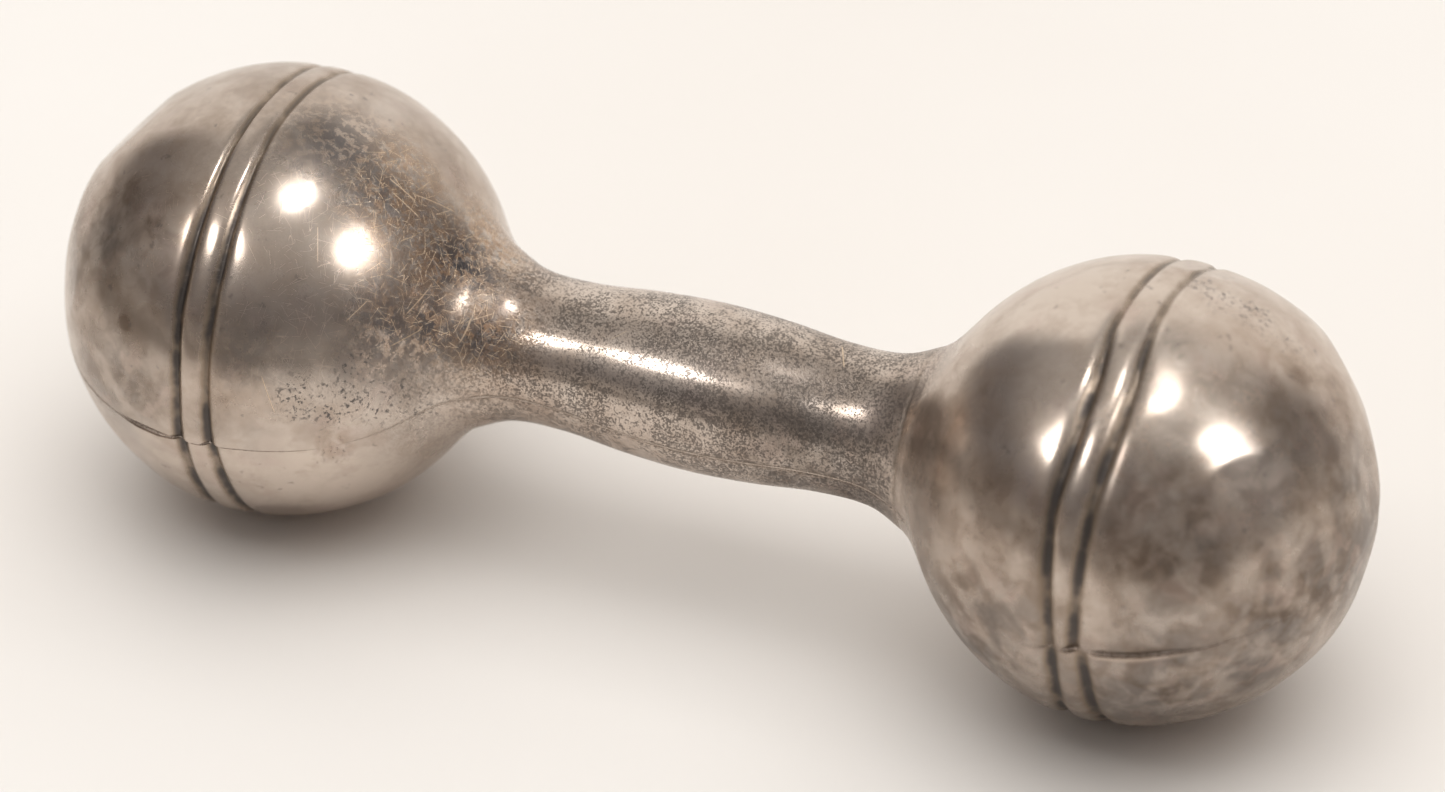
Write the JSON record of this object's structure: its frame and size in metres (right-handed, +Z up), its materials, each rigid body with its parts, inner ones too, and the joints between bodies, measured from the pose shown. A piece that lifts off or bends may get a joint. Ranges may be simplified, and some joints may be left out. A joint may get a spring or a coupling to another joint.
{
  "type": "baby rattle",
  "caption": "Dumbbell-shaped silver baby rattle: two round bells on a waisted grip, made of two soldered half shells with loose pellets inside.",
  "frame": {"origin": "on the table plane, under the middle of the grip: the bottom centre of the bounding box", "axes": "+X along the rattle from the left bell to the right bell, +Y towards the back, +Z up"},
  "size_m": [0.114, 0.0378, 0.0377],
  "materials": {
    "upper_silver": "old polished silver with a warm brownish tarnish, fine scratches and dark grooves",
    "lower_silver": "old polished silver with a warm brownish tarnish, duller where it has rubbed on tables",
    "solder": "silver solder, filed flush, slightly darker and duller than the sheet",
    "pellet": "plain steel shot"
  },
  "bodies": {
    "silver_body": {"upper_half_shell": "upper_silver", "lower_half_shell": "lower_silver", "seam_solder": "solder"},
    "pellet_left_centre": {"pellet_left_centre": "pellet"},
    "pellet_left_front": {"pellet_left_front": "pellet"},
    "pellet_left_back": {"pellet_left_back": "pellet"},
    "pellet_left_inner": {"pellet_left_inner": "pellet"},
    "pellet_left_outer": {"pellet_left_outer": "pellet"},
    "pellet_left_end": {"pellet_left_end": "pellet"},
    "pellet_right_centre": {"pellet_right_centre": "pellet"},
    "pellet_right_inner": {"pellet_right_inner": "pellet"},
    "pellet_right_outer": {"pellet_right_outer": "pellet"},
    "pellet_right_front": {"pellet_right_front": "pellet"},
    "pellet_right_back": {"pellet_right_back": "pellet"},
    "pellet_right_side": {"pellet_right_side": "pellet"}
  },
  "joints": [
    {"name": "pellet_left_centre_hop", "type": "slide", "parent": "silver_body", "child": "pellet_left_centre", "axis": [0, 0, 1], "range_m": [0, 0.0326]},
    {"name": "pellet_left_front_hop", "type": "slide", "parent": "silver_body", "child": "pellet_left_front", "axis": [0, 0, 1], "range_m": [0, 0.0317]},
    {"name": "pellet_left_back_hop", "type": "slide", "parent": "silver_body", "child": "pellet_left_back", "axis": [0, 0, 1], "range_m": [0, 0.0317]},
    {"name": "pellet_left_inner_hop", "type": "slide", "parent": "silver_body", "child": "pellet_left_inner", "axis": [0, 0, 1], "range_m": [0, 0.0317]},
    {"name": "pellet_left_outer_hop", "type": "slide", "parent": "silver_body", "child": "pellet_left_outer", "axis": [0, 0, 1], "range_m": [0, 0.0317]},
    {"name": "pellet_left_end_roll", "type": "hinge", "parent": "silver_body", "child": "pellet_left_end", "pos_m": [-0.0455, 0, 0.01876], "axis": [1, 0, 0], "continuous": true},
    {"name": "pellet_right_centre_hop", "type": "slide", "parent": "silver_body", "child": "pellet_right_centre", "axis": [0, 0, 1], "range_m": [0, 0.0326]},
    {"name": "pellet_right_inner_hop", "type": "slide", "parent": "silver_body", "child": "pellet_right_inner", "axis": [0, 0, 1], "range_m": [0, 0.0317]},
    {"name": "pellet_right_outer_hop", "type": "slide", "parent": "silver_body", "child": "pellet_right_outer", "axis": [0, 0, 1], "range_m": [0, 0.0317]},
    {"name": "pellet_right_front_hop", "type": "slide", "parent": "silver_body", "child": "pellet_right_front", "axis": [0, 0, 1], "range_m": [0, 0.0317]},
    {"name": "pellet_right_back_hop", "type": "slide", "parent": "silver_body", "child": "pellet_right_back", "axis": [0, 0, 1], "range_m": [0, 0.0317]},
    {"name": "pellet_right_side_roll", "type": "hinge", "parent": "silver_body", "child": "pellet_right_side", "pos_m": [0.038, -0.0075, 0.01876], "axis": [0, 1, 0], "continuous": true}
  ]
}
